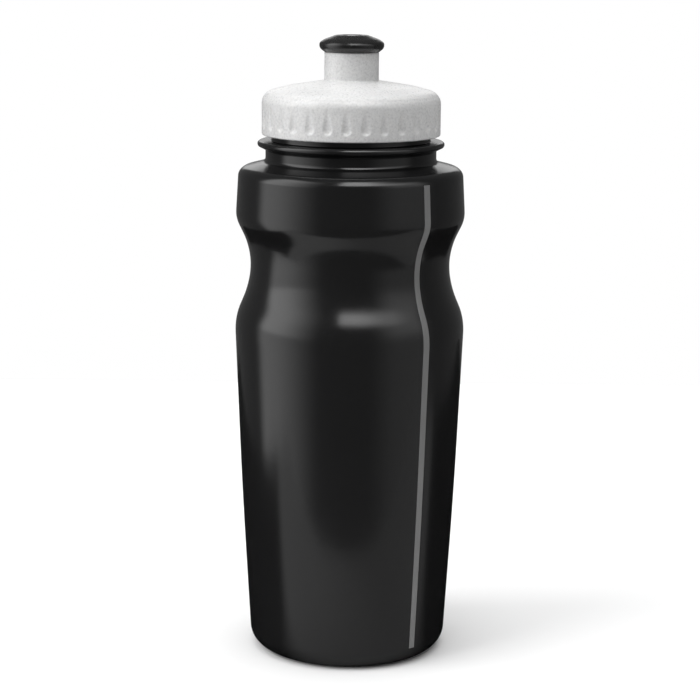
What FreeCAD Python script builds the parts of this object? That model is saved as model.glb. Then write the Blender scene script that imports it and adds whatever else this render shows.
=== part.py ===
"""Sports squeeze bottle: a blow-moulded bottle with a grip waist, a fluted screw lid with a chimney,
and a push-pull drinking spout.

Frame: millimetres, +Z up the bottle's axis, origin at the centre of the base on the resting plane,
-Y towards the front.  The bottle is shown closed: the lid screwed down, the spout pushed in.
"""
import FreeCAD, Part
import math
import os
import re

import Sketcher
from FreeCAD import Placement, Rotation, Vector

# Driving dimensions, in millimetres and degrees: alias, value, meaning.
SIZES = [
    # bottle body, outer outline from the base up
    ("wall", 1.2, "bottle wall thickness"),
    ("base_radius", 31.23, "base corner before rounding"),
    ("base_round", 6.2, "base corner rounding"),
    ("belly_radius", 34.2, "belly, between base and ridge"),
    ("belly_height", 50.4, "height of the belly's gentle bend"),
    ("belly_round", 2000.0, "radius of the belly's gentle bend"),
    ("ridge_radius", 36.53, "widest ring, under the waist"),
    ("ridge_height", 107.65, "height of the ridge corner"),
    ("ridge_round", 20.5, "rounding of the ridge"),
    ("flank_radius", 32.94, "bend in the flank between ridge and waist"),
    ("flank_height", 116.1, "height of that bend"),
    ("flank_round", 28.0, "rounding of that bend"),
    ("waist_radius", 30.58, "waist corner before rounding"),
    ("waist_height", 125.5, "height of the waist"),
    ("waist_round", 24.0, "rounding of the waist"),
    ("grip_radius", 33.21, "bend in the flank between waist and band"),
    ("grip_height", 133.7, "height of that bend"),
    ("grip_round", 22.0, "rounding of that bend"),
    ("band_radius", 36.2, "upper band, lower corner"),
    ("band_height", 139.9, "height of the band's lower corner"),
    ("band_round", 8.8, "rounding of the band's lower corner"),
    ("shoulder_radius", 35.31, "shoulder corner"),
    ("shoulder_height", 155.37, "height of the shoulder corner"),
    ("shoulder_round", 3.5, "rounding of the shoulder"),
    ("neck_radius", 26.83, "neck below the bead"),
    ("neck_root_height", 157.6, "where the shoulder meets the neck"),
    ("neck_root_round", 1.5, "rounding of the neck's root"),
    # transfer bead and neck finish
    ("bead_radius", 29.35, "tip of the transfer bead"),
    ("bead_foot_height", 161.3, "where the bead leaves the neck"),
    ("bead_foot_round", 0.95, "rounding of the bead's foot"),
    ("bead_tip_height", 162.5, "lower corner of the bead"),
    ("bead_top_height", 164.06, "top of the bead"),
    ("bead_round", 0.8, "rounding of the bead's lower corner"),
    ("bead_top_round", 1.0, "rounding of the bead's upper corner"),
    ("finish_radius", 25.0, "neck finish, thread root"),
    ("mouth_radius", 23.6, "bore of the mouth"),
    ("rim_height", 175.6, "top of the mouth's rim"),
    ("rim_round", 0.4, "rounding of the rim"),
    # base
    ("ring_radius", 22.0, "inner edge of the resting ring"),
    ("push_up_radius", 18.5, "edge of the base's raised middle"),
    ("push_up_height", 2.4, "rise of the base's middle"),
    ("ring_round", 1.2, "rounding of the resting ring's inner edge"),
    # thread between neck and lid
    ("thread_lead", 6.0, "rise of the thread in one turn"),
    ("thread_turns", 1.0, "turns of thread on each part"),
    ("thread_depth", 1.0, "height of the thread rib"),
    ("thread_foot", 2.2, "width of the rib at its foot"),
    ("thread_crest", 1.0, "width of the rib at its crest"),
    ("thread_start", 167.3, "height of the neck rib's start"),
    ("thread_phase", 180.0, "how much later in the turn the lid's rib starts"),
    ("thread_drop", 2.6, "how far the lid's rib sits under the neck's, at one angle"),
    ("thread_bite", 0.3, "how far a rib's foot reaches into its wall"),
    # stripe
    ("stripe_depth", 0.4, "depth of the stripe in the wall"),
    ("stripe_angle", 4.16, "angle that the stripe covers"),
    ("stripe_side", -51.3, "direction of the stripe's first edge, from +X"),
    ("stripe_low", 5.4, "lower end of the stripe"),
    ("stripe_high", 153.3, "upper end of the stripe"),
    # lid
    ("lid_radius", 28.04, "outside of the skirt"),
    ("lid_bore", 26.3, "inside of the skirt"),
    ("lid_edge_height", 165.9, "lower edge of the skirt"),
    ("lid_edge_round", 0.5, "rounding of the skirt's lower edge"),
    ("lid_corner_height", 179.0, "corner between skirt and dome"),
    ("lid_corner_round", 4.25, "rounding of that corner"),
    ("dome_radius", 19.9, "middle of the dome"),
    ("dome_height", 181.1, "height of the dome's middle"),
    ("dome_round", 45.0, "bend of the dome's middle"),
    ("dome_top_height", 182.9, "dome at the chimney's foot"),
    ("lid_wall", 1.7, "thickness of the dome"),
    ("seat_radius", 22.8, "inner edge of the gasket's seat"),
    ("seat_height", 177.3, "underside of the lid over the gasket"),
    ("seat_step", 1.2, "rise from the gasket's seat to the underside of the dome"),
    ("flute_count", 30, "grip flutes round the skirt"),
    ("flute_radius", 2.6, "radius of the round cutter of a flute"),
    ("flute_depth", 0.75, "depth of a flute under the tip of its nose"),
    ("flute_foot", 169.5, "centre of a flute's round foot"),
    ("flute_lean", 5.8, "lean of a flute, which lets it run out at the top"),
    ("flute_length", 14.0, "length of the flute's cutter"),
    ("flute_nose_round", 2.55, "rounding of the cutter's nose"),
    ("flute_turn", 3.2, "direction of the first flute, from +X"),
    # chimney, valve and spout
    ("chimney_radius", 8.5, "outside of the chimney"),
    ("chimney_height", 191.65, "top of the chimney"),
    ("chimney_bore", 7.3, "bore that the latch bead slides in"),
    ("chimney_root_round", 0.6, "rounding at the chimney's foot"),
    ("chimney_rim_round", 0.3, "rounding of the chimney's top"),
    ("lip_bore", 6.6, "retaining lip at the chimney's top"),
    ("lip_height", 190.2, "underside of the retaining lip"),
    ("boss_radius", 10.2, "outside of the boss under the dome"),
    ("boss_bore", 8.6, "seat for the valve ring"),
    ("boss_foot", 177.0, "lower end of the boss"),
    ("boss_step", 180.8, "shoulder that the valve ring meets"),
    ("valve_ring_height", 2.6, "height of the valve ring"),
    ("valve_ring_wall", 1.6, "thickness of the valve ring"),
    ("spoke_count", 3, "spokes between ring and pin"),
    ("spoke_width", 1.6, "width of a spoke"),
    ("pin_radius", 2.3, "shank of the pin"),
    ("pin_tip_radius", 3.0, "plug at the pin's tip"),
    ("pin_tip_height", 196.7, "top of the pin"),
    ("pin_tip_length", 2.4, "length of the plug"),
    ("pin_tip_cone", 0.8, "length of the cone under the plug"),
    ("pin_tip_round", 0.5, "rounding of the plug's top"),
    ("stem_radius", 6.5, "outside of the sliding stem"),
    ("stem_bore", 4.7, "waterway in the stem"),
    ("stem_foot", 181.2, "lower end of the stem"),
    ("latch_radius", 7.23, "latch bead of the stem"),
    ("latch_height", 183.9, "top of the latch bead"),
    ("latch_round", 0.3, "rounding of the latch bead"),
    ("seal_section", 1.0, "thickness of the O-ring"),
    ("seal_height", 182.55, "height of the O-ring"),
    ("seal_reach", 7.25, "outer radius of the fitted O-ring"),
    ("seal_play", 0.05, "play of the O-ring in its groove"),
    ("collar_radius", 7.6, "collar on the stem inside the mouthpiece"),
    ("collar_low", 193.0, "underside of the collar"),
    ("collar_high", 194.2, "top of the collar"),
    ("stem_top", 195.0, "upper end of the stem"),
    ("head_gap", 0.05, "gap between chimney and mouthpiece"),
    ("head_foot_radius", 8.6, "mouthpiece where it meets the chimney"),
    ("head_foot_round", 0.2, "rounding of the mouthpiece's lower edge"),
    ("head_radius", 10.13, "widest ring of the mouthpiece"),
    ("head_low", 192.93, "lower corner of the mouthpiece"),
    ("head_low_round", 1.8, "rounding of that corner"),
    ("head_high", 194.53, "upper corner of the mouthpiece"),
    ("head_high_round", 1.36, "rounding of that corner"),
    ("head_crown_radius", 8.53, "middle of the mouthpiece's crown"),
    ("head_crown_height", 195.6, "height of that middle"),
    ("head_crown_round", 5.0, "bend of the crown"),
    ("head_flat_radius", 5.0, "edge of the mouthpiece's flat top"),
    ("head_flat_round", 2.5, "rounding of that edge"),
    ("head_top", 196.88, "top of the mouthpiece"),
    ("drink_radius", 3.1, "drinking hole"),
    ("drink_round", 0.3, "rounding of the drinking hole"),
    # gasket
    ("gasket_gap", 0.05, "gap above and below the gasket"),
    ("gasket_bore", 23.4, "inside of the gasket"),
    ("gasket_radius", 25.9, "outside of the gasket"),
    ("gasket_round", 0.3, "rounding of the gasket's edges"),
]

doc = FreeCAD.newDocument("squeeze_bottle")
ALIASES = {alias for alias, _, _ in SIZES}

# The part of a sketch point: start or end of a line or arc, or the point itself.
START = 1
END = 2
ORIGIN = -1
HEIGHT_AXIS = -2


def make_sheet():
    """Write every driving dimension into the spreadsheet, one row each."""
    sheet = doc.addObject("Spreadsheet::Sheet", "Sizes")
    for row, (alias, size_of_it, meaning) in enumerate(SIZES, start=1):
        sheet.set(f"A{row}", alias)
        sheet.set(f"B{row}", str(size_of_it))
        sheet.set(f"C{row}", meaning)
        sheet.setAlias(f"B{row}", alias)
    doc.recompute()
    return sheet


SHEET = make_sheet()


def bound(formula):
    """A formula written with bare aliases, as an expression on the sheet."""
    return re.sub(r"[a-z_]+", lambda word: "Sizes." + word[0] if word[0] in ALIASES else word[0], formula)


def size(formula):
    """The present value of a formula."""
    return float(SHEET.evalExpression(bound(formula)))


# ---------------------------------------------------------------- bodies and sketches

def new_body(label):
    """A PartDesign body in the bottle's frame."""
    body = doc.addObject("PartDesign::Body", label)
    body.Label = label
    body.Placement = Placement()
    return body


def origin_feature(body, role):
    """The body's own origin plane or axis of that role."""
    return next(item for item in body.Origin.OriginFeatures if item.Role == role)


def side_sketch(body, name, turn=None):
    """A sketch on the plane that holds the axis: sketch x is the radius and sketch y the height.
    A turn swings that plane about the axis, away from +X."""
    sketch = body.newObject("Sketcher::SketchObject", name)
    sketch.AttachmentSupport = [(origin_feature(body, "XZ_Plane"), "")]
    sketch.MapMode = "FlatFace"
    if turn is not None:
        sketch.AttachmentOffset = Placement(Vector(), Rotation(Vector(0, 1, 0), size(turn)))
        sketch.setExpression("AttachmentOffset.Rotation.Angle", bound(turn))
    return sketch


def place_point(sketch, geometry, point, radius, height):
    """Hold a sketch point at a radius and a height that are formulas on the sheet."""
    for kind, axis, formula in (("DistanceX", HEIGHT_AXIS, radius), ("DistanceY", ORIGIN, height)):
        if size(formula) == 0:
            sketch.addConstraint(Sketcher.Constraint("PointOnObject", geometry, point, axis))
            continue
        index = sketch.addConstraint(Sketcher.Constraint(kind, ORIGIN, START, geometry, point, size(formula)))
        sketch.setExpression(f"Constraints[{index}]", bound(formula))


def corner_arc(before, corner, after, radius):
    """The arc that rounds a corner, and the two points where it meets the straight runs."""
    back = (before - corner).normalize()
    ahead = (after - corner).normalize()
    half = back.getAngle(ahead) / 2
    reach = radius / math.tan(half)
    first = corner + back * reach
    last = corner + ahead * reach
    centre = corner + (back + ahead).normalize() * (radius / math.sin(half))
    middle = centre + (corner - centre).normalize() * radius
    return Part.Arc(first, middle, last), first, last


def draw_outline(sketch, corners):
    """Draw a closed outline through corners (radius, height) or (radius, height, rounding), each a
    formula on the sheet.  A rounded corner keeps a construction point where its two runs would meet."""
    spots = [Vector(size(corner[0]), size(corner[1]), 0) for corner in corners]
    count = len(spots)
    arcs = []
    for index, corner in enumerate(corners):
        if len(corner) == 2:
            arcs.append((None, spots[index], spots[index]))
            continue
        after = spots[(index + 1) % count]
        arcs.append(corner_arc(spots[index - 1], spots[index], after, size(corner[2])))
    runs = []
    for index in range(count):
        run = Part.LineSegment(arcs[index][2], arcs[(index + 1) % count][1])
        runs.append(sketch.addGeometry(run, False))
    for index, corner in enumerate(corners):
        run_in = runs[index - 1]
        run_out = runs[index]
        arc = arcs[index][0]
        if arc is None:
            sketch.addConstraint(Sketcher.Constraint("Coincident", run_in, END, run_out, START))
            place_point(sketch, run_out, START, corner[0], corner[1])
            continue
        rounding = sketch.addGeometry(arc, False)
        tip = sketch.addGeometry(Part.Point(spots[index]), True)
        first, last = (START, END) if arc_runs_forward(sketch, rounding, arcs[index][1]) else (END, START)
        sketch.addConstraint([
            Sketcher.Constraint("Tangent", run_in, END, rounding, first),
            Sketcher.Constraint("Tangent", rounding, last, run_out, START),
            Sketcher.Constraint("PointOnObject", tip, START, run_in),
            Sketcher.Constraint("PointOnObject", tip, START, run_out)])
        index_of_radius = sketch.addConstraint(Sketcher.Constraint("Radius", rounding, size(corner[2])))
        sketch.setExpression(f"Constraints[{index_of_radius}]", bound(corner[2]))
        place_point(sketch, tip, START, corner[0], corner[1])


def arc_runs_forward(sketch, arc, first):
    """True if the sketch's arc starts at the outline's first point: sketch arcs run counter-clockwise."""
    return sketch.getPoint(arc, START).distanceToPoint(first) < 1e-6


def turned(body, name, corners, angle=None, turn=None, feature="Revolution"):
    """Turn an outline about the axis, as a Revolution that adds or a Groove that cuts."""
    sketch = side_sketch(body, name + "_outline", turn)
    draw_outline(sketch, corners)
    solid = body.newObject("PartDesign::" + feature, name)
    solid.Profile = sketch
    solid.ReferenceAxis = (sketch, ["V_Axis"])
    solid.Angle = 360
    if angle is not None:
        solid.Angle = size(angle)
        solid.setExpression("Angle", bound(angle))
    doc.recompute()
    return solid


# ---------------------------------------------------------------- bottle body and stripe

def side_corners(shift):
    """The bottle's side from belly to shoulder, moved outwards by a shift."""
    return [
        (f"belly_radius + ({shift})", "belly_height", "belly_round"),
        (f"ridge_radius + ({shift})", "ridge_height", "ridge_round"),
        (f"flank_radius + ({shift})", "flank_height", "flank_round"),
        (f"waist_radius + ({shift})", "waist_height", "waist_round"),
        (f"grip_radius + ({shift})", "grip_height", "grip_round"),
        (f"band_radius + ({shift})", "band_height", "band_round")]


def bottle_outline():
    """Section of the bottle's wall: the outside from the base up to the rim, then the inside back down."""
    outside = [
        ("push_up_radius", "push_up_height", "ring_round"),
        ("ring_radius", "0", "ring_round"),
        ("base_radius", "0", "base_round"),
        *side_corners("0"),
        ("shoulder_radius", "shoulder_height", "shoulder_round"),
        ("neck_radius", "neck_root_height", "neck_root_round"),
        ("neck_radius", "bead_foot_height", "bead_foot_round"),
        ("bead_radius", "bead_tip_height", "bead_round"),
        ("bead_radius", "bead_top_height", "bead_top_round"),
        ("finish_radius", "bead_top_height", "rim_round"),
        ("finish_radius", "rim_height", "rim_round")]
    inside = [
        ("mouth_radius", "rim_height", "rim_round"),
        ("mouth_radius", "bead_top_height", "rim_round"),
        ("neck_radius - wall", "bead_top_height - 2 * wall", "rim_round"),
        ("neck_radius - wall", "neck_root_height - wall", "neck_root_round"),
        ("shoulder_radius - wall", "shoulder_height - wall", "shoulder_round - wall"),
        *reversed(side_corners("-wall")),
        ("base_radius - wall", "wall", "base_round - wall"),
        ("ring_radius", "wall", "ring_round"),
        ("push_up_radius", "push_up_height + wall", "ring_round"),
        ("0", "push_up_height + wall")]
    return [("0", "push_up_height"), *outside, *inside]


def run_radius(radius_a, height_a, radius_b, height_b, height):
    """Radius, at a height, of the straight run between two corners."""
    return f"{radius_a} + ({radius_b} - {radius_a}) * ({height} - {height_a}) / ({height_b} - {height_a})"


def stripe_outline(outer_shift):
    """Section of the stripe: the bottle's outer side between the stripe's ends, as deep as the stripe.
    The outer side is moved out by a shift when the outline cuts the stripe's bed."""
    low = run_radius("base_radius", "0", "belly_radius", "belly_height", "stripe_low")
    high = run_radius("band_radius", "band_height", "shoulder_radius", "shoulder_height", "stripe_high")

    def side(shift):
        return [
            (f"{low} + ({shift})", "stripe_low"),
            *side_corners(shift),
            (f"{high} + ({shift})", "stripe_high")]

    return side(outer_shift) + list(reversed(side("-stripe_depth")))


def thread_rib(body, name, root, inward, start, turn=None):
    """Sweep one right-hand thread rib round a wall of radius root.  It stands inwards or outwards."""
    sign = -1 if inward else 1
    sketch = side_sketch(body, name + "_section", turn)
    foot = f"{root} - ({sign}) * thread_bite"
    crest = f"{root} + ({sign}) * thread_depth"
    draw_outline(sketch, [
        (foot, f"{start} - thread_foot / 2"),
        (crest, f"{start} - thread_crest / 2"),
        (crest, f"{start} + thread_crest / 2"),
        (foot, f"{start} + thread_foot / 2")])
    rib = body.newObject("PartDesign::AdditiveHelix", name)
    rib.Profile = sketch
    rib.ReferenceAxis = (sketch, ["V_Axis"])
    rib.Mode = "pitch-turns-angle"
    rib.Pitch = size("thread_lead")
    rib.setExpression("Pitch", bound("thread_lead"))
    rib.Turns = size("thread_turns")
    rib.setExpression("Turns", bound("thread_turns"))
    doc.recompute()
    return rib


def make_bottle_body():
    """The bottle: its wall turned from one section, a thread on the neck finish, and a shallow bed
    down the side for the stripe."""
    body = new_body("bottle_body")
    turned(body, "bottle_wall", bottle_outline())
    thread_rib(body, "neck_thread", "finish_radius", False, "thread_start")
    turned(body, "stripe_bed", stripe_outline("wall"), "stripe_angle", "stripe_side", "Groove")
    return body


def make_level_stripe():
    """The stripe: a strip of the wall's outer layer, flush with the outside."""
    body = new_body("level_stripe")
    turned(body, "stripe_strip", stripe_outline("0"), "stripe_angle", "stripe_side")
    return body


# ---------------------------------------------------------------- lid and gasket

def lid_outline():
    """Section of the lid: skirt, dome and chimney outside, then the chimney's bore, the valve's seat,
    the underside of the dome, the gasket's seat and the inside of the skirt."""
    return [
        ("lid_bore", "lid_edge_height"),
        ("lid_radius", "lid_edge_height", "lid_edge_round"),
        ("lid_radius", "lid_corner_height", "lid_corner_round"),
        ("dome_radius", "dome_height", "dome_round"),
        ("chimney_radius", "dome_top_height", "chimney_root_round"),
        ("chimney_radius", "chimney_height", "chimney_rim_round"),
        ("lip_bore", "chimney_height", "chimney_rim_round"),
        ("lip_bore", "lip_height"),
        ("chimney_bore", "lip_height"),
        ("chimney_bore", "boss_step"),
        ("boss_bore", "boss_step"),
        ("boss_bore", "boss_foot"),
        ("boss_radius", "boss_foot"),
        ("boss_radius", "dome_top_height - lid_wall"),
        ("dome_radius", "dome_height - lid_wall", "dome_round"),
        ("seat_radius", "seat_height + seat_step"),
        ("seat_radius", "seat_height"),
        ("lid_bore", "seat_height")]


def make_screw_lid():
    """The lid: one turned section, an inside thread and a ring of teardrop grip flutes."""
    body = new_body("screw_lid")
    turned(body, "lid_wall_section", lid_outline())
    later = "thread_lead * thread_phase / 360"
    thread_rib(body, "lid_thread", "lid_bore", True, f"thread_start - thread_drop + {later}", "thread_phase")
    cut_flutes(body)
    return body


def cut_flutes(body):
    """Cut one flute with a round-nosed tool that leans outwards towards the top, and repeat it."""
    plane = body.newObject("PartDesign::Plane", "flute_plane")
    plane.AttachmentSupport = [(origin_feature(body, "XZ_Plane"), "")]
    plane.MapMode = "FlatFace"
    plane.AttachmentOffset = Placement(Vector(), Rotation(Vector(0, 1, 0), size("flute_turn")))
    plane.setExpression("AttachmentOffset.Rotation.Angle", bound("flute_turn"))

    tool_radius = "lid_radius - flute_depth + flute_radius"
    tool_foot = "flute_foot - flute_radius"
    sketch = body.newObject("Sketcher::SketchObject", "flute_outline")
    sketch.AttachmentSupport = [(plane, "")]
    sketch.MapMode = "FlatFace"
    sketch.AttachmentOffset = Placement(
        Vector(size(tool_radius), size(tool_foot), 0),
        Rotation(Vector(0, 0, -1), size("flute_lean")))
    sketch.setExpression("AttachmentOffset.Base.x", bound(tool_radius))
    sketch.setExpression("AttachmentOffset.Base.y", bound(tool_foot))
    sketch.setExpression("AttachmentOffset.Rotation.Angle", bound("flute_lean"))
    draw_outline(sketch, [
        ("0", "0"),
        ("flute_radius", "0", "flute_nose_round"),
        ("flute_radius", "flute_length"),
        ("0", "flute_length")])

    flute = body.newObject("PartDesign::Groove", "flute")
    flute.Profile = sketch
    flute.ReferenceAxis = (sketch, ["V_Axis"])
    flute.Angle = 360
    doc.recompute()
    ring_of(body, flute, "flutes", "flute_count")


def ring_of(body, feature, name, count):
    """Repeat a feature round the body's axis, evenly over the whole turn."""
    ring = body.newObject("PartDesign::PolarPattern", name)
    ring.Originals = [feature]
    ring.Axis = (origin_feature(body, "Z_Axis"), [""])
    ring.Angle = 360
    ring.Occurrences = int(size(count))
    ring.setExpression("Occurrences", bound(count))
    body.Tip = ring
    doc.recompute()
    return ring


def make_lid_gasket():
    """The soft ring between the neck's rim and the lid."""
    body = new_body("lid_gasket")
    low = "rim_height + gasket_gap"
    high = "seat_height - gasket_gap"
    turned(body, "gasket_ring", [
        ("gasket_bore", low, "gasket_round"),
        ("gasket_radius", low, "gasket_round"),
        ("gasket_radius", high, "gasket_round"),
        ("gasket_bore", high, "gasket_round")])
    return body


# ---------------------------------------------------------------- valve and spout

def make_valve_pin():
    """The valve: a ring pressed into the boss under the chimney, with spokes that carry the pin."""
    body = new_body("valve_pin")
    ring_foot = "boss_step - valve_ring_height"
    ring_inside = "boss_bore - valve_ring_wall"
    plug_foot = "pin_tip_height - pin_tip_length"
    turned(body, "valve_ring", [
        (ring_inside, ring_foot),
        ("boss_bore", ring_foot),
        ("boss_bore", "boss_step"),
        (ring_inside, "boss_step")])

    sketch = side_sketch(body, "spoke_outline")
    reach = "boss_bore - valve_ring_wall / 2"
    draw_outline(sketch, [
        ("0", ring_foot),
        (reach, ring_foot),
        (reach, "boss_step"),
        ("0", "boss_step")])
    spoke = body.newObject("PartDesign::Pad", "spoke")
    spoke.Profile = sketch
    spoke.Midplane = True
    spoke.Length = size("spoke_width")
    spoke.setExpression("Length", bound("spoke_width"))
    doc.recompute()
    ring_of(body, spoke, "spokes", "spoke_count")

    turned(body, "pin", [
        ("0", ring_foot),
        ("pin_radius", ring_foot),
        ("pin_radius", f"{plug_foot} - pin_tip_cone"),
        ("pin_tip_radius", plug_foot),
        ("pin_tip_radius", "pin_tip_height", "pin_tip_round"),
        ("0", "pin_tip_height")])
    return body


def make_spout_stem():
    """The stem: a tube with a grooved latch bead at its foot and a collar that keys the mouthpiece."""
    body = new_body("spout_stem")
    groove_low = "seal_height - seal_section / 2 - seal_play"
    groove_high = "seal_height + seal_section / 2 + seal_play"
    groove_floor = "seal_reach - seal_section - seal_play"
    turned(body, "stem_tube", [
        ("stem_bore", "stem_foot"),
        ("latch_radius", "stem_foot", "latch_round"),
        ("latch_radius", groove_low),
        (groove_floor, groove_low),
        (groove_floor, groove_high),
        ("latch_radius", groove_high),
        ("latch_radius", "latch_height", "latch_round"),
        ("stem_radius", "latch_height"),
        ("stem_radius", "collar_low"),
        ("collar_radius", "collar_low"),
        ("collar_radius", "collar_high"),
        ("stem_radius", "collar_high"),
        ("stem_radius", "stem_top"),
        ("stem_bore", "stem_top")])
    return body


def make_mouthpiece():
    """The soft head moulded round the top of the stem, with the drinking hole."""
    body = new_body("mouthpiece")
    foot = "chimney_height + head_gap"
    turned(body, "head", [
        ("stem_radius", foot),
        ("head_foot_radius", foot, "head_foot_round"),
        ("head_radius", "head_low", "head_low_round"),
        ("head_radius", "head_high", "head_high_round"),
        ("head_crown_radius", "head_crown_height", "head_crown_round"),
        ("head_flat_radius", "head_top", "head_flat_round"),
        ("drink_radius", "head_top", "drink_round"),
        ("drink_radius", "stem_top"),
        ("stem_radius", "stem_top"),
        ("stem_radius", "collar_high"),
        ("collar_radius", "collar_high"),
        ("collar_radius", "collar_low"),
        ("stem_radius", "collar_low")])
    return body


def make_stem_seal():
    """The O-ring in the latch bead's groove."""
    ring = doc.addObject("Part::Torus", "stem_seal")
    ring.Label = "stem_seal"
    ring.setExpression("Radius1", bound("seal_reach - seal_section / 2"))
    ring.setExpression("Radius2", bound("seal_section / 2"))
    ring.setExpression("Placement.Base.z", bound("seal_height"))
    return ring


# ---------------------------------------------------------------- build, check and write

def failed_objects():
    """Names of document objects that did not compute."""
    return [item.Name for item in doc.Objects if "Invalid" in item.State or "Error" in item.State]


def check_piece(piece):
    """Stop if a piece has no sound single solid."""
    shape = piece.Shape
    if shape.isNull() or not shape.isValid() or len(shape.Solids) != 1:
        raise RuntimeError(f"{piece.Label} has no sound solid")


def main():
    pieces = [
        make_bottle_body(),
        make_level_stripe(),
        make_screw_lid(),
        make_lid_gasket(),
        make_valve_pin(),
        make_spout_stem(),
        make_mouthpiece(),
        make_stem_seal()]
    doc.recompute()
    if failed_objects():
        raise RuntimeError("these did not compute: " + ", ".join(failed_objects()))
    for piece in pieces:
        check_piece(piece)
    os.makedirs("parts", exist_ok=True)
    for piece in pieces:
        piece.Shape.exportStep(f"parts/{piece.Label}.step")
        print(piece.Label, "volume", round(piece.Shape.Volume, 1), "mm3")


main()
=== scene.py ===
"""Looks for the sports squeeze bottle: fine turned meshes with moulded details, materials and studio."""

import math

import bpy
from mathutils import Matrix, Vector


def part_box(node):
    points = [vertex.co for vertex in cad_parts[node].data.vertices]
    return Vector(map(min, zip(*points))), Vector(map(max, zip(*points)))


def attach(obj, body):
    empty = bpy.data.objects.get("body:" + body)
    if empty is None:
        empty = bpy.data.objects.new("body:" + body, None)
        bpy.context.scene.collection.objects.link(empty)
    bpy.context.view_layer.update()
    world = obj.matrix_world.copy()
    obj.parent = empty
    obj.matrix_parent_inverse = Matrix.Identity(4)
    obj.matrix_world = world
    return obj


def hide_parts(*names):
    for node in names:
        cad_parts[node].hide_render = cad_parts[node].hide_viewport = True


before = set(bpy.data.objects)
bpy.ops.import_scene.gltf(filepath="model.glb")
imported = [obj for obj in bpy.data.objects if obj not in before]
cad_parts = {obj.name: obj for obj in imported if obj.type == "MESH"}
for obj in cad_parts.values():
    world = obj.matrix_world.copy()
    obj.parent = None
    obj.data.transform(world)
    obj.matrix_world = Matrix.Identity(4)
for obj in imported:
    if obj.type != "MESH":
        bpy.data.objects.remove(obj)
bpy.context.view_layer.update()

MM = 0.001
TURN = 2 * math.pi
SAME_PLACE = 0.001 * MM
CRISP_DEGREES = 50

# ---------------------------------------------------------------- sizes

# Bottle outline in millimetres, as corners (radius, height, rounding).
WALL = 1.2
BASE = [
    (0.0, 2.4),
    (18.5, 2.4, 1.2),
    (22.0, 0.0, 1.2),
    (31.23, 0.0, 6.2)]
SIDE = [
    (34.2, 50.4, 2000.0),
    (36.53, 107.65, 20.5),
    (32.94, 116.1, 28.0),
    (30.58, 125.5, 24.0),
    (33.21, 133.7, 22.0),
    (36.2, 139.9, 8.8)]
NECK = [
    (35.31, 155.37, 3.5),
    (26.83, 157.6, 1.5),
    (26.83, 161.3, 0.95),
    (29.35, 162.5, 0.8),
    (29.35, 164.06, 1.0),
    (25.0, 164.06, 0.4),
    (25.0, 175.6, 0.4)]
INSIDE = [
    (23.6, 175.6, 0.4),
    (23.6, 164.06, 0.4),
    (25.63, 161.66, 0.4),
    (25.63, 156.4, 1.5),
    (34.11, 154.17, 2.3),
    *[(radius - WALL, height, rounding) for radius, height, rounding in reversed(SIDE)],
    (30.03, 1.2, 5.0),
    (22.0, 1.2, 1.2),
    (18.5, 3.6, 1.2),
    (0.0, 3.6)]
RIDGE_RADIUS = SIDE[1][0] * MM
RIDGE_HEIGHT = SIDE[1][1] * MM

# Lid outline in millimetres.
LID = [
    (26.3, 165.9),
    (28.04, 165.9, 0.5),
    (28.04, 179.0, 4.25),
    (19.9, 181.1, 45.0),
    (8.5, 182.9, 0.6),
    (8.5, 191.65, 0.3),
    (6.6, 191.65, 0.3),
    (6.6, 190.2),
    (7.3, 190.2),
    (7.3, 180.8),
    (8.6, 180.8),
    (8.6, 177.0),
    (10.2, 177.0),
    (10.2, 181.2),
    (19.9, 179.4, 45.0),
    (22.8, 178.5),
    (22.8, 177.3),
    (26.3, 177.3)]

# Mouthpiece, stem, gasket and seal outlines in millimetres.
MOUTHPIECE = [
    (6.5, 191.7),
    (8.6, 191.7, 0.2),
    (10.13, 192.93, 1.8),
    (10.13, 194.53, 1.36),
    (8.53, 195.6, 5.0),
    (5.0, 196.88, 2.5),
    (3.1, 196.88, 0.3),
    (3.1, 195.0),
    (6.5, 195.0),
    (6.5, 194.2),
    (7.6, 194.2),
    (7.6, 193.0),
    (6.5, 193.0)]
STEM = [
    (4.7, 181.2, 0.2),
    (7.23, 181.2, 0.3),
    (7.23, 182.0),
    (6.2, 182.0),
    (6.2, 183.1),
    (7.23, 183.1),
    (7.23, 183.9, 0.3),
    (6.5, 183.9),
    (6.5, 193.0),
    (7.6, 193.0),
    (7.6, 194.2),
    (6.5, 194.2),
    (6.5, 195.0),
    (4.7, 195.0)]
GASKET = [
    (23.4, 175.65, 0.3),
    (25.9, 175.65, 0.3),
    (25.9, 177.25, 0.3),
    (23.4, 177.25, 0.3)]
SEAL_MIDDLE = (6.75 * MM, 182.55 * MM)
SEAL_HALF = 0.5 * MM


# ---------------------------------------------------------------- outlines and turned meshes

def rounded_corner(before, corner, after, rounding, arc_step):
    """Points of the arc that rounds a corner between two neighbouring corners."""
    back = (before - corner).normalized()
    ahead = (after - corner).normalized()
    half = back.angle(ahead) / 2
    reach = rounding / math.tan(half)
    centre = corner + (back + ahead).normalized() * (rounding / math.sin(half))
    first = corner + back * reach - centre
    last = corner + ahead * reach - centre
    start = math.atan2(first.y, first.x)
    sweep = (math.atan2(last.y, last.x) - start + math.pi) % TURN - math.pi
    steps = max(4, math.ceil(abs(math.degrees(sweep)) / arc_step))
    turns = [start + sweep * step / steps for step in range(steps + 1)]
    return [centre + rounding * Vector((math.cos(turn), math.sin(turn))) for turn in turns]


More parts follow.
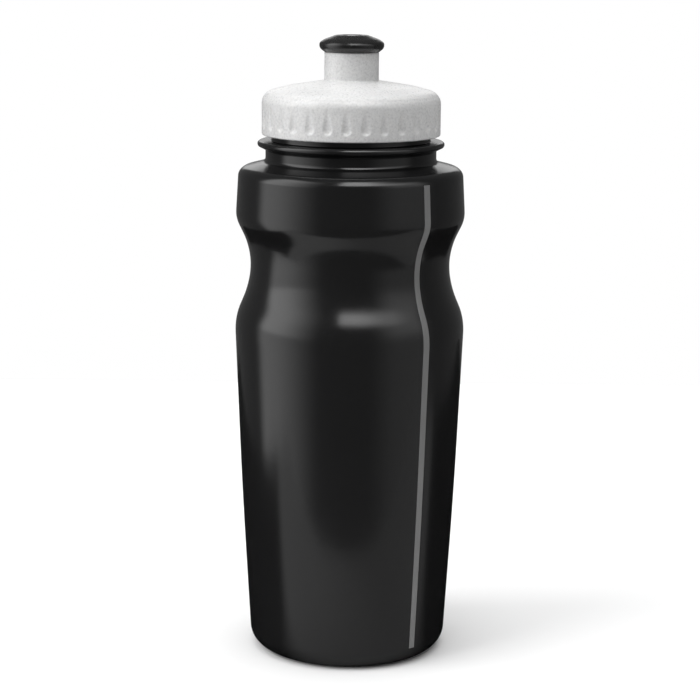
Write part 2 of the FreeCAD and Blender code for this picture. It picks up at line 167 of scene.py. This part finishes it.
def fine_outline(corners, closed=False, arc_step=5.0, longest=4.0):
    """Points (radius, height) in metres along an outline of corners in millimetres.  Arcs are divided by
    arc_step degrees, and straight runs into pieces no longer than longest millimetres."""
    spots = [Vector(corner[:2]) for corner in corners]
    count = len(spots)
    points = []
    for index, corner in enumerate(corners):
        is_end = not closed and index in (0, count - 1)
        if len(corner) == 2 or is_end:
            points.append(spots[index])
            continue
        after = spots[(index + 1) % count]
        points += rounded_corner(spots[index - 1], spots[index], after, corner[2], arc_step)
    result = []
    for index in range(count_runs(points, closed)):
        start = points[index]
        end = points[(index + 1) % len(points)]
        pieces = max(1, math.ceil((end - start).length / longest))
        result += [start.lerp(end, step / pieces) for step in range(pieces)]
    if not closed:
        result.append(points[-1])
    return [(point.x * MM, point.y * MM) for point in result]


def count_runs(points, closed):
    """How many straight runs join the points."""
    return len(points) if closed else len(points) - 1


def with_heights(outline, heights):
    """The outline with a point added wherever a rising run passes one of the heights."""
    result = []
    for (r0, z0), (r1, z1) in zip(outline, outline[1:]):
        result.append((r0, z0))
        for height in sorted(heights):
            if z0 + 1e-7 < height < z1 - 1e-7:
                result.append((r0 + (r1 - r0) * (height - z0) / (z1 - z0), height))
    result.append(outline[-1])
    return result


def new_piece(name, verts, faces, sharp_degrees=40):
    """A smooth-shaded mesh object; edges that bend more than sharp_degrees stay crisp."""
    mesh = bpy.data.meshes.new(name)
    mesh.from_pydata(verts, [], faces)
    mesh.update()
    mesh.polygons.foreach_set("use_smooth", [True] * len(mesh.polygons))
    mesh.set_sharp_from_angle(angle=math.radians(sharp_degrees))
    piece = bpy.data.objects.new(name, mesh)
    bpy.context.scene.collection.objects.link(piece)
    return piece


def turned_piece(name, outline, columns, closed=True, shape=None, sharp_degrees=40):
    """Turn an outline about the bottle's axis.  columns are the angles of its lines of points.  shape, if
    given, takes a row, an angle, a radius and a height and returns the point's own radius and height.
    An open outline starts and ends on the axis, at a pole."""
    verts = []
    starts = []
    for row, (radius, height) in enumerate(outline):
        starts.append(len(verts))
        for angle in (columns if radius > 1e-9 else [0.0]):
            r, z = shape(row, angle, radius, height) if shape else (radius, height)
            verts.append((r * math.cos(angle), r * math.sin(angle), z))
    faces = []
    count = len(columns)
    for row in range(count_runs(outline, closed)):
        low = starts[row]
        high = starts[(row + 1) % len(outline)]
        low_pole = outline[row][0] <= 1e-9
        high_pole = outline[(row + 1) % len(outline)][0] <= 1e-9
        for column in range(count):
            after = (column + 1) % count
            if low_pole:
                faces.append((low, high + after, high + column))
            elif high_pole:
                faces.append((low + column, low + after, high))
            else:
                faces.append((low + column, low + after, high + after, high + column))
    return new_piece(name, verts, faces, sharp_degrees)


def even_columns(count):
    """Angles of evenly spaced lines of points."""
    return [TURN * index / count for index in range(count)]


def angle_between(angle, other):
    """The signed difference of two angles, within half a turn."""
    return (angle - other + math.pi) % TURN - math.pi


def ridge(distance, width):
    """A soft ridge: 1 at distance 0 and almost nothing two widths away."""
    return math.exp(-(distance / width) ** 2)


def ramp(value, low, high):
    """0 below low, 1 above high and smooth between them."""
    share = min(1.0, max(0.0, (value - low) / (high - low)))
    return share * share * (3 - 2 * share)


def placed(piece, body, slot, *nodes):
    """Join a finished piece to its body and hide the CAD nodes that it stands for.  slot, its material slot,
    is not used.
    """
    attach(piece, body)
    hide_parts(*nodes)
    return piece


# ---------------------------------------------------------------- screw thread

THREAD_LEAD = 6.0 * MM
THREAD_DEPTH = 1.0 * MM
THREAD_HALF_FOOT = 1.1 * MM
THREAD_HALF_CREST = 0.5 * MM
THREAD_FADE = math.radians(14)
NECK_THREAD_START = (0.0, 167.3 * MM)
LID_THREAD_START = (math.pi, 167.7 * MM)


def thread_rise(angle, height, start):
    """How far a one-turn thread rib stands out of its wall.  start is its first angle and height."""
    along = (angle - start[0]) % TURN
    centre = start[1] + THREAD_LEAD * along / TURN
    fade = ramp(along, 0, THREAD_FADE) * (1 - ramp(along, TURN - THREAD_FADE, TURN))
    flank = (THREAD_HALF_FOOT - abs(height - centre)) / (THREAD_HALF_FOOT - THREAD_HALF_CREST)
    return THREAD_DEPTH * fade * min(1.0, max(0.0, flank))


# ---------------------------------------------------------------- bottle body and stripe

stripe_low, stripe_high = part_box("level_stripe")
STRIPE_FOOT = stripe_low.z
STRIPE_TOP = stripe_high.z
STRIPE_FIRST = math.radians(-51.3)
STRIPE_SPAN = math.radians(4.16)
STRIPE_DEPTH = 0.4 * MM
STRIPE_GAP = 0.05 * MM
GAP_ANGLE = STRIPE_GAP / RIDGE_RADIUS
SEAM_ANGLES = (0.0, math.pi)
SEAM_HEIGHT = 0.05 * MM
SEAM_WIDTH = 0.18 * MM
WELD_HEIGHT = 0.5 * MM
WELD_WIDTH = 0.7 * MM
WELD_REACH = 17.0 * MM
WELD_FADE = 3.0 * MM
FINISH_FOOT = 0.45 * MM
BODY_COLUMNS = 360


def body_columns():
    """Even lines of points, with closer ones at the two parting lines and at the stripe's edges."""
    stripe_last = STRIPE_FIRST + STRIPE_SPAN
    special = [STRIPE_FIRST, STRIPE_FIRST + GAP_ANGLE, stripe_last - GAP_ANGLE, stripe_last]
    for seam in SEAM_ANGLES:
        special += [seam + share * SEAM_WIDTH / RIDGE_RADIUS for share in (-2, -1, -0.5, 0, 0.5, 1, 2)]
    clearance = 0.4 * TURN / BODY_COLUMNS
    kept = [
        angle for angle in even_columns(BODY_COLUMNS)
        if all(abs(angle_between(angle, other)) > clearance for other in special)]
    return sorted(angle % TURN for angle in kept + special)


def in_stripe_bed(angle, height):
    """True for the points that lie on the floor of the stripe's bed."""
    inside_angle = 0.5 * GAP_ANGLE < (angle - STRIPE_FIRST) % TURN < STRIPE_SPAN - 0.5 * GAP_ANGLE
    return inside_angle and STRIPE_FOOT - 1e-7 < height < STRIPE_TOP + 1e-7


def make_bottle():
    """The bottle in one closed skin: outside, threaded finish and inside, with a bed for the stripe,
    fine parting lines down two sides and the pinched weld across the base."""
    bed_ends = [STRIPE_FOOT - STRIPE_GAP, STRIPE_FOOT, STRIPE_TOP, STRIPE_TOP + STRIPE_GAP]
    whole = fine_outline(BASE + SIDE + NECK, arc_step=3.0, longest=1.5)
    outside = with_heights(whole, bed_ends)
    finish_root = NECK[-1][0] * MM
    bead_top = NECK[-2][1] * MM
    below = [point for point in outside if abs(point[0] - finish_root) > SAME_PLACE or point[1] <= bead_top]
    around_rim = [NECK[-2][:2], NECK[-1], INSIDE[0], INSIDE[1][:2]]
    finish = fine_outline(around_rim, arc_step=12.0, longest=0.2)
    inside = fine_outline([INSIDE[0][:2]] + INSIDE[1:], arc_step=6.0, longest=5.0)[1:]
    finish = [point for point in finish if point[1] > bead_top + FINISH_FOOT]
    inside = [point for point in inside if point[1] < bead_top + FINISH_FOOT - SAME_PLACE]
    outline = below + finish + inside
    finish_first = len(below)

    def shape(row, angle, radius, height):
        if row >= finish_first:
            if abs(radius - finish_root) < SAME_PLACE:
                radius += thread_rise(angle, height, NECK_THREAD_START)
            return radius, height
        if radius < WELD_REACH:
            fade = 1 - ramp(abs(radius * math.cos(angle)), WELD_REACH - WELD_FADE, WELD_REACH)
            height -= WELD_HEIGHT * fade * ridge(radius * math.sin(angle), WELD_WIDTH)
            return radius, height
        if in_stripe_bed(angle, height):
            return radius - STRIPE_DEPTH, height
        if height > BASE[1][1] * MM:
            for seam in SEAM_ANGLES:
                radius += SEAM_HEIGHT * ridge(angle_between(angle, seam) * radius, SEAM_WIDTH)
        return radius, height

    bottle = turned_piece(
        "bottle_shell", outline, body_columns(), closed=False, shape=shape, sharp_degrees=CRISP_DEGREES)
    return placed(bottle, "bottle", "bottle_plastic", "bottle_body")


def make_stripe():
    """The grey strip in its bed, a hair narrower than the bed, with softly rounded long edges."""
    outside = fine_outline([BASE[3][:2]] + SIDE + [NECK[0][:2]], arc_step=3.0, longest=1.5)
    first = STRIPE_FOOT + STRIPE_GAP
    last = STRIPE_TOP - STRIPE_GAP
    side = [point for point in with_heights(outside, [first, last]) if first - 1e-7 < point[1] < last + 1e-7]
    low = STRIPE_FIRST + 1.6 * GAP_ANGLE
    high = STRIPE_FIRST + STRIPE_SPAN - 1.6 * GAP_ANGLE
    corner = 2 * GAP_ANGLE
    drop = 0.02 * MM
    top_steps = 6
    section = [(low, 0.9 * STRIPE_DEPTH), (low, 3 * drop), (low + 0.3 * corner, drop)]
    section += [
        (low + corner + (high - low - 2 * corner) * step / top_steps, 0.0) for step in range(top_steps + 1)]
    section += [(high - 0.3 * corner, drop), (high, 3 * drop), (high, 0.9 * STRIPE_DEPTH)]
    verts = []
    for radius, height in side:
        for angle, depth in section:
            verts.append(((radius - depth) * math.cos(angle), (radius - depth) * math.sin(angle), height))
    width = len(section)
    faces = [tuple(range(width))[::-1], tuple(len(verts) - width + column for column in range(width))]
    for row in range(len(side) - 1):
        for column in range(width):
            after = (column + 1) % width
            base = row * width
            faces.append((base + column, base + after, base + width + after, base + width + column))
    stripe = new_piece("stripe_strip", verts, faces, CRISP_DEGREES)
    return placed(stripe, "bottle", "stripe_plastic", "level_stripe")


# ---------------------------------------------------------------- lid

FLUTE_COUNT = 30
FLUTE_FIRST = math.radians(3.2)
FLUTE_RADIUS = 2.6 * MM
FLUTE_LEAN = math.radians(5.0)
FLUTE_NOSE = 166.9 * MM
FLUTE_DEPTH = 0.75 * MM
FLUTE_SOFTNESS = 0.05 * MM
LID_COLUMNS = FLUTE_COUNT * 22
LID_RADIUS = LID[1][0] * MM
SKIRT_LIP = 0.3 * MM
DOME_GAP = 0.2 * MM
STEP_HEIGHT = 178.15 * MM
STEP_DEPTH = 0.07 * MM
STEP_WIDTH = 0.22 * MM


def soft_max(value, softness):
    """value where it is positive and 0 where it is negative, blended over softness."""
    return 0.5 * (value + math.sqrt(value * value + softness * softness))


def flute_cut(angle, radius, height):
    """How deep the nearest flute cuts into a point of the lid's outside.  The cutter is a round-nosed bar
    that stands outside the skirt and leans outwards towards its top."""
    pitch = TURN / FLUTE_COUNT
    off = (angle - FLUTE_FIRST + pitch / 2) % pitch - pitch / 2
    nose_radius = LID_RADIUS - FLUTE_DEPTH + FLUTE_RADIUS
    foot = FLUTE_NOSE + FLUTE_RADIUS * math.cos(FLUTE_LEAN)
    up = max(0.0, height - foot)
    down = max(0.0, foot - height)
    axis_radius = nose_radius + (FLUTE_RADIUS + up) * math.tan(FLUTE_LEAN)
    aside = radius * math.sin(off)
    room = FLUTE_RADIUS ** 2 - aside ** 2 - down ** 2
    if room <= 0:
        return 0.0
    cut = radius * math.cos(off) - (axis_radius - math.sqrt(room))
    return soft_max(cut, FLUTE_SOFTNESS) if cut > -4 * FLUTE_SOFTNESS else 0.0


def make_lid():
    """The lid: turned skirt, dome, chimney and underside, with teardrop flutes and an inside thread."""
    skirt_bore = LID[0][0] * MM
    outside = fine_outline(LID[:3] + [LID[3][:2]], arc_step=5.0, longest=0.25)[:-1]
    crown = fine_outline([LID[2][:2]] + LID[3:], arc_step=7.0, longest=1.5)
    reach = outside[-1][0]
    under_dome = LID[16][1] * MM + SAME_PLACE
    crown = [point for point in crown if point[0] < reach - DOME_GAP or point[1] < under_dome]
    bore = fine_outline([LID[-1][:2], LID[0][:2]], longest=0.2)[1:-1]
    outline = outside + crown + bore
    outside_rows = len(outside)
    bore_first = len(outside) + len(crown)

    def shape(row, angle, radius, height):
        if row < outside_rows and height > LID[1][1] * MM + SKIRT_LIP:
            radius -= flute_cut(angle, radius, height)
            radius -= STEP_DEPTH * ridge(height - STEP_HEIGHT, STEP_WIDTH)
        elif row >= bore_first and abs(radius - skirt_bore) < SAME_PLACE:
            radius -= thread_rise(angle, height, LID_THREAD_START)
        return radius, height

    columns = even_columns(LID_COLUMNS)
    lid = turned_piece("lid_shell", outline, columns, shape=shape, sharp_degrees=CRISP_DEGREES)
    return placed(lid, "lid", "lid_plastic", "screw_lid")


# ---------------------------------------------------------------- spout and seals

SPOUT_COLUMNS = 160
FLASH_HEIGHT = 0.03 * MM
FLASH_WIDTH = 0.12 * MM
FLASH_BAND = 0.3 * MM


def make_mouthpiece():
    """The soft head, with the faint flash line of its mould round the widest ring."""
    middle = (MOUTHPIECE[2][1] + MOUTHPIECE[3][1]) / 2 * MM
    widest = MOUTHPIECE[2][0] * MM

    def shape(row, angle, radius, height):
        if widest - radius < FLASH_BAND:
            radius -= FLASH_HEIGHT * ridge(height - middle, FLASH_WIDTH)
        return radius, height

    outline = fine_outline(MOUTHPIECE, closed=True, arc_step=5.0, longest=0.15)
    columns = even_columns(SPOUT_COLUMNS)
    head = turned_piece("mouthpiece_head", outline, columns, shape=shape, sharp_degrees=CRISP_DEGREES)
    return placed(head, "spout", "mouthpiece_rubber", "mouthpiece")


def make_stem():
    """The sliding tube with its grooved latch bead."""
    outline = fine_outline(STEM, closed=True, arc_step=12.0, longest=1.0)
    stem = turned_piece("stem_tube", outline, even_columns(SPOUT_COLUMNS))
    return placed(stem, "spout", "stem_plastic", "spout_stem")


def make_gasket():
    """The flat silicone ring under the lid."""
    outline = fine_outline(GASKET, closed=True, arc_step=15.0, longest=0.5)
    gasket = turned_piece("gasket_ring", outline, even_columns(BODY_COLUMNS))
    return placed(gasket, "gasket", "gasket_silicone", "lid_gasket")


def make_seal():
    """The O-ring in the stem's groove, round in section."""
    steps = 32
    outline = []
    for step in range(steps):
        turn = TURN * step / steps
        outline.append((
            SEAL_MIDDLE[0] + SEAL_HALF * math.cos(turn),
            SEAL_MIDDLE[1] + SEAL_HALF * math.sin(turn)))
    seal = turned_piece("seal_ring", outline, even_columns(SPOUT_COLUMNS))
    return placed(seal, "seal", "seal_rubber", "stem_seal")


# ---------------------------------------------------------------- materials

class Patterns:
    """Shorthand for building one node tree: values and colours made from procedural patterns."""

    def __init__(self, tree, coordinates):
        self.tree = tree
        self.place = tree.nodes.new("ShaderNodeTexCoord").outputs[coordinates]

    def node(self, kind, **inputs):
        """A new node with its inputs set, or linked when the value is a socket."""
        node = self.tree.nodes.new(kind)
        for label, value in inputs.items():
            self.feed(node.inputs[label.replace("_", " ")], value)
        return node

    def feed(self, socket, value):
        """Set a socket, or link another socket to it."""
        if isinstance(value, bpy.types.NodeSocket):
            self.tree.links.new(value, socket)
        else:
            socket.default_value = value

    def stretched(self, scale):
        """The coordinates stretched by a scale for each axis."""
        return self.node("ShaderNodeMapping", Vector=self.place, Scale=scale).outputs["Vector"]

    def clouds(self, size, detail=2.0, roughness=0.5, place=None):
        """Soft noise from 0 to 1 whose features are about size metres across."""
        node = self.node("ShaderNodeTexNoise", Vector=place or self.place, Scale=1 / size)
        node.inputs["Detail"].default_value = detail
        node.inputs["Roughness"].default_value = roughness
        return node.outputs["Fac"]

    def between(self, value, low, high, new_low=0.0, new_high=1.0, smooth=False):
        """value remapped, clamped, from the range low..high to new_low..new_high."""
        node = self.node("ShaderNodeMapRange")
        node.interpolation_type = "SMOOTHSTEP" if smooth else "LINEAR"
        limits = {"From Min": low, "From Max": high, "To Min": new_low, "To Max": new_high}
        for label, number in limits.items():
            node.inputs[label].default_value = number
        self.feed(node.inputs["Value"], value)
        return node.outputs["Result"]

    def sum(self, first, second, operation="ADD"):
        """Two values joined by a math operation."""
        node = self.tree.nodes.new("ShaderNodeMath")
        node.operation = operation
        self.feed(node.inputs[0], first)
        self.feed(node.inputs[1], second)
        return node.outputs["Value"]

    def times(self, first, second):
        """The product of two values."""
        return self.sum(first, second, "MULTIPLY")

    def blend(self, share, first, second):
        """Two colours mixed by a share."""
        node = self.tree.nodes.new("ShaderNodeMix")
        node.data_type = "RGBA"
        self.feed(node.inputs["Factor"], share)
        self.feed(node.inputs["A"], first)
        self.feed(node.inputs["B"], second)
        return node.outputs["Result"]


class Paint(Patterns):
    """A node material under construction: a Principled shader fed by procedural patterns in object space."""

    def __init__(self, name):
        self.material = bpy.data.materials.new(name)
        self.material.use_nodes = True
        super().__init__(self.material.node_tree, "Object")
        self.shader = self.tree.nodes["Principled BSDF"]
        self.last_normal = None

    def relief(self, value, height):
        """Add a bump whose full swing is height metres."""
        node = self.node("ShaderNodeBump", Height=value, Distance=height)
        if self.last_normal is not None:
            self.feed(node.inputs["Normal"], self.last_normal)
        self.last_normal = node.outputs["Normal"]
        self.feed(self.shader.inputs["Normal"], self.last_normal)

    def finish(self, **sockets):
        """Set the shader's own sockets and return the material."""
        for label, value in sockets.items():
            self.feed(self.shader.inputs[label.replace("_", " ")], value)
        return self.material


def rgb(level, tint=(1.0, 1.0, 1.0)):
    """An opaque colour of one brightness, lightly tinted."""
    return (level * tint[0], level * tint[1], level * tint[2], 1.0)


def black_polyethylene():
    """Blown black polyethylene: a glossy, soft orange-peel skin, faint drawn streaks up the wall and fine
    scuffs round the ridge, the widest ring."""
    paint = Paint("black_polyethylene")
    drawn = paint.clouds(6 * MM, 3.0, place=paint.stretched((1.0, 1.0, 0.06)))
    blotch = paint.clouds(30 * MM, 2.0)
    grain = paint.clouds(0.9 * MM, 3.0, 0.6)
    scratch_place = paint.stretched((1.0, 1.0, 9.0))
    scratches = paint.between(paint.clouds(4 * MM, 4.0, 0.75, scratch_place), 0.62, 0.72)
    height = paint.node("ShaderNodeSeparateXYZ", Vector=paint.place).outputs["Z"]
    from_ridge = paint.sum(paint.sum(height, RIDGE_HEIGHT, "SUBTRACT"), 0.0, "ABSOLUTE")
    near_ridge = paint.between(from_ridge, 2 * MM, 12 * MM, 1.0, 0.0)
    scuffs = paint.times(scratches, near_ridge)
    rough = paint.between(paint.times(drawn, grain), 0.1, 0.4, 0.15, 0.20)
    rough = paint.sum(rough, paint.times(scuffs, 0.12))
    colour = paint.blend(blotch, rgb(0.0065, (1.0, 1.0, 1.04)), rgb(0.0085, (1.0, 1.0, 1.02)))
    colour = paint.blend(paint.times(scuffs, 0.25), colour, rgb(0.05))
    paint.relief(paint.clouds(3 * MM, 2.0), 0.004 * MM)
    paint.relief(grain, 0.0012 * MM)
    paint.relief(drawn, 0.003 * MM)
    return paint.finish(Base_Color=colour, Roughness=rough, Specular_IOR_Level=0.5)


def grey_stripe():
    """Grey polyethylene, a little duller than the wall round it."""
    paint = Paint("grey_stripe")
    grain = paint.clouds(0.7 * MM, 3.0, 0.6)
    along = paint.clouds(4 * MM, 2.0, place=paint.stretched((1.0, 1.0, 0.2)))
    colour = paint.blend(paint.between(along, 0.3, 0.7), rgb(0.180), rgb(0.205))
    rough = paint.between(grain, 0.3, 0.7, 0.36, 0.46)
    paint.relief(grain, 0.008 * MM)
    return paint.finish(Base_Color=colour, Roughness=rough, Specular_IOR_Level=0.4)


FLECK_SPACING = 0.9 * MM


def speckled_white():
    """White plastic filled with fine grey and pale flecks, with a softly grained surface."""
    paint = Paint("speckled_white")
    mottle = paint.clouds(0.7 * MM, 3.0, 0.6)
    flecks = paint.node("ShaderNodeTexVoronoi", Vector=paint.place, Scale=1 / FLECK_SPACING, Randomness=1.0)
    fleck_pick = paint.node("ShaderNodeSeparateColor", Color=flecks.outputs["Color"]).outputs["Red"]
    fleck_size = paint.between(flecks.outputs["Distance"], 0.20, 0.42, 1.0, 0.0)
    dark = paint.times(fleck_size, paint.between(fleck_pick, 0.72, 0.80))
    grain = paint.clouds(0.45 * MM, 2.0, 0.6)
    colour = paint.blend(paint.between(mottle, 0.32, 0.68), rgb(0.63), rgb(0.775, (1.0, 1.0, 0.995)))
    colour = paint.blend(paint.times(dark, 0.12), colour, rgb(0.30))
    rough = paint.between(mottle, 0.3, 0.7, 0.26, 0.34)
    paint.relief(grain, 0.01 * MM)
    return paint.finish(
        Base_Color=colour, Roughness=rough, Specular_IOR_Level=0.5, Subsurface_Weight=0.08,
        Subsurface_Radius=(0.0008, 0.0007, 0.0006), Subsurface_Scale=1.0)


def black_rubber():
    """Soft black rubber of the head, with a fine moulded skin."""
    paint = Paint("black_rubber")
    grain = paint.clouds(0.5 * MM, 3.0, 0.6)
    blotch = paint.clouds(4 * MM, 2.0)
    colour = paint.blend(blotch, rgb(0.007), rgb(0.012))
    rough = paint.between(paint.times(grain, blotch), 0.1, 0.4, 0.22, 0.30)
    paint.relief(grain, 0.0015 * MM)
    return paint.finish(Base_Color=colour, Roughness=rough, Specular_IOR_Level=0.5)


def black_plastic():
    """Smooth black plastic of the stem, with fine draw marks along it."""
    paint = Paint("black_plastic")
    marks = paint.clouds(0.6 * MM, 3.0, 0.6, paint.stretched((1.0, 1.0, 0.05)))
    colour = paint.blend(marks, rgb(0.010), rgb(0.016))
    paint.relief(marks, 0.005 * MM)
    return paint.finish(Base_Color=colour, Roughness=paint.between(marks, 0.3, 0.7, 0.22, 0.32))


def milky_silicone():
    """Translucent white silicone of the gasket."""
    paint = Paint("milky_silicone")
    cloud = paint.clouds(3 * MM, 2.0)
    colour = paint.blend(cloud, rgb(0.62, (1.0, 1.0, 0.98)), rgb(0.74, (1.0, 1.0, 0.97)))
    paint.relief(paint.clouds(0.4 * MM, 2.0), 0.006 * MM)
    return paint.finish(
        Base_Color=colour, Roughness=paint.between(cloud, 0.3, 0.7, 0.38, 0.5), Subsurface_Weight=0.35,
        Subsurface_Radius=(0.002, 0.002, 0.0018), Subsurface_Scale=1.0)


def seal_rubber():
    """Black nitrile of the O-ring."""
    paint = Paint("seal_rubber")
    grain = paint.clouds(0.3 * MM, 2.0)
    colour = paint.blend(grain, rgb(0.010), rgb(0.018))
    paint.relief(grain, 0.004 * MM)
    return paint.finish(Base_Color=colour, Roughness=paint.between(grain, 0.3, 0.7, 0.3, 0.45))


def painted(piece, material):
    """Give a piece one material."""
    piece.data.materials.clear()
    piece.data.materials.append(material)


# ---------------------------------------------------------------- studio

FLOOR_FRONT = -0.125
FLOOR_LEFT = -0.24
FLOOR_RIGHT = 0.32
FLOOR_BACK = 0.40

# The table in reflections, painted: painted shade that grows from black behind the bottle to TABLE_LEVEL in
# front of it, across a band of Y that leans by TABLE_SLANT, and painted light that grows from right to left
# across the bottle.
TABLE_LEVEL = 0.40
TABLE_SLANT = 0.15
TABLE_FADE = (-0.018, -0.034)
TABLE_SIDES = (0.06, -0.06)
TABLE_SIDE_LEVELS = (0.75, 1.35)


def make_floor():
    """A plain pale table, open in front of the bottle.  Glossy surfaces see painted shade on it beside and
    behind the bottle, as a table looks when it stands between black flags, and painted light in front of it
    and to its left."""
    left, right, front, back = FLOOR_LEFT, FLOOR_RIGHT, FLOOR_FRONT, FLOOR_BACK
    corners = [(left, front, 0.0), (right, front, 0.0), (right, back, 0.0), (left, back, 0.0)]
    floor = new_piece("floor", corners, [(0, 1, 2, 3)])
    paint = Paint("pale_floor")
    axes = paint.node("ShaderNodeSeparateXYZ", Vector=paint.place).outputs
    # Painted shade behind the bottle and painted light to its left, seen only in reflections.
    slant = paint.sum(axes["Y"], paint.times(axes["X"], TABLE_SLANT), "SUBTRACT")
    in_front = paint.between(slant, *TABLE_FADE, 0.0, TABLE_LEVEL, smooth=True)
    to_left = paint.between(axes["X"], *TABLE_SIDES, *TABLE_SIDE_LEVELS, smooth=True)
    painted_reflection = paint.node("ShaderNodeCombineColor")
    for channel in ("Red", "Green", "Blue"):
        paint.feed(painted_reflection.inputs[channel], paint.times(in_front, to_left))
    rays = paint.node("ShaderNodeLightPath")
    plain = paint.blend(paint.clouds(50 * MM), rgb(0.93), rgb(0.95))
    # Glossy rays see the painted shade and light; other rays see the plain pale colour.
    colour = paint.blend(rays.outputs["Is Glossy Ray"], plain, painted_reflection.outputs["Color"])
    painted(floor, paint.finish(Base_Color=colour, Roughness=0.9, Specular_IOR_Level=0.1))


# Light boxes of the studio, as glossy surfaces see them.  Each has a level, then (azimuth, width of the soft
# edge) for its left and right sides and (elevation, width) for its lower and upper sides, in degrees.
# Azimuth 0 is the camera's side and positive is to its right.
LIGHT_BOXES = [
    (1.20, (-101, 14), (-55, 56), (4, 5), (56, 12)),
    (1.45, (-101, 14), (-55, 56), (-38, 46), (56, 12)),
    (1.00, (38, 34), (84, 20), (14, 36), (46, 14)),
    (0.28, (34, 34), (84, 20), (-22, 10), (20, 16)),
    (3.60, (-13, 6), (34, 40), (34, 5), (72, 10)),
    (1.50, (-11, 8), (62, 40), (29, 10), (72, 10)),
    (0.90, (166, 4), (194, 4), (5, 4), (20, 4))]
REFLECTED_FILL = 0.12

# The sky that lights matt surfaces, and the glow of the big box on the left.
SKY_LOW = 0.10
SKY_HIGH = 2.4
SKY_POWER = 3.0
SKY_BELOW = 0.5
HORIZON_BLEND = 0.01
LEFT_GLOW = (4.20, (-88, 10), (-44, 14), (14, 8), (54, 10))


def light_box(world, azimuth, elevation, box):
    """Brightness of one light box, in any direction."""
    level, left, right, low, high = box
    middle = math.radians((left[0] + right[0]) / 2)
    around = world.node("ShaderNodeMath")
    around.operation = "WRAP"
    for socket, value in zip(around.inputs, (world.sum(azimuth, middle, "SUBTRACT"), math.pi, -math.pi)):
        world.feed(socket, value)
    half = math.radians(right[0] - left[0]) / 2
    share = level
    edges = [
        (around.outputs["Value"], -half, left[1], 1),
        (around.outputs["Value"], half, right[1], -1),
        (elevation, math.radians(low[0]), low[1], 1),
        (elevation, math.radians(high[0]), high[1], -1)]
    for value, edge, width, direction in edges:
        reach = direction * math.radians(width) / 2
        share = world.times(world.between(value, edge - reach, edge + reach, smooth=True), share)
    return share


def make_world():
    """The studio round the table: plain white to the eye, a soft sky that is brighter overhead and to the
    left for matt surfaces, and dark flags with light boxes for glossy ones."""
    data = bpy.data.worlds.new("studio")
    data.use_nodes = True
    data.node_tree.nodes.clear()
    world = Patterns(data.node_tree, "Generated")
    axes = world.node("ShaderNodeSeparateXYZ", Vector=world.place).outputs

    azimuth = world.sum(axes["X"], world.times(axes["Y"], -1.0), "ARCTAN2")
    elevation = world.sum(axes["Z"], 0.0, "ARCSINE")
    reflected = REFLECTED_FILL
    for box in LIGHT_BOXES:
        reflected = world.sum(reflected, light_box(world, azimuth, elevation, box))

    height = world.sum(axes["Z"], 0.0, "MAXIMUM")
    overhead = world.sum(SKY_LOW, world.times(world.sum(height, SKY_POWER, "POWER"), SKY_HIGH))
    underneath = world.between(axes["Z"], HORIZON_BLEND, -HORIZON_BLEND, 0.0, SKY_BELOW - SKY_LOW)
    sky = world.sum(overhead, underneath)
    scattered = world.sum(sky, light_box(world, azimuth, elevation, LEFT_GLOW))

    rays = world.node("ShaderNodeLightPath").outputs
    shares = {}
    for name, level in (("seen", 1.0), ("reflected", reflected), ("scattered", scattered)):
        shares[name] = world.node("ShaderNodeBackground", Color=rgb(1.0), Strength=level).outputs[0]
    unseen = world.node("ShaderNodeMixShader", Fac=rays["Is Glossy Ray"])
    world.feed(unseen.inputs[1], shares["scattered"])
    world.feed(unseen.inputs[2], shares["reflected"])
    whole = world.node("ShaderNodeMixShader", Fac=rays["Is Camera Ray"])
    world.feed(whole.inputs[1], unseen.outputs[0])
    world.feed(whole.inputs[2], shares["seen"])
    world.node("ShaderNodeOutputWorld", Surface=whole.outputs[0])
    bpy.context.scene.world = data


CAMERA_PLACE = (0.00024, -0.6535, 0.2265)
CAMERA_LENS = 106.96
CAMERA_SENSOR = 36.0
CAMERA_TILT = math.radians(78.79)
CAMERA_ROLL = math.radians(0.49)


def make_camera():
    """The camera: in front of the bottle, a little above it and looking slightly down."""
    data = bpy.data.cameras.new("camera")
    data.sensor_width = CAMERA_SENSOR
    data.lens = CAMERA_LENS
    camera = bpy.data.objects.new("camera", data)
    bpy.context.scene.collection.objects.link(camera)
    camera.location = CAMERA_PLACE
    camera.rotation_euler = (CAMERA_TILT, 0.0, 0.0)
    camera.rotation_euler.rotate_axis("Z", CAMERA_ROLL)
    bpy.context.scene.camera = camera


# ---------------------------------------------------------------- build

bottle_shell = make_bottle()
stripe_strip = make_stripe()
lid_shell = make_lid()
mouthpiece_head = make_mouthpiece()
stem_tube = make_stem()
gasket_ring = make_gasket()
seal_ring = make_seal()

painted(bottle_shell, black_polyethylene())
painted(stripe_strip, grey_stripe())
lid_material = speckled_white()
painted(lid_shell, lid_material)
painted(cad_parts["valve_pin"], lid_material)
painted(mouthpiece_head, black_rubber())
painted(stem_tube, black_plastic())
painted(gasket_ring, milky_silicone())
painted(seal_ring, seal_rubber())

make_floor()
make_world()
make_camera()
bpy.context.scene.view_settings.view_transform = "Standard"
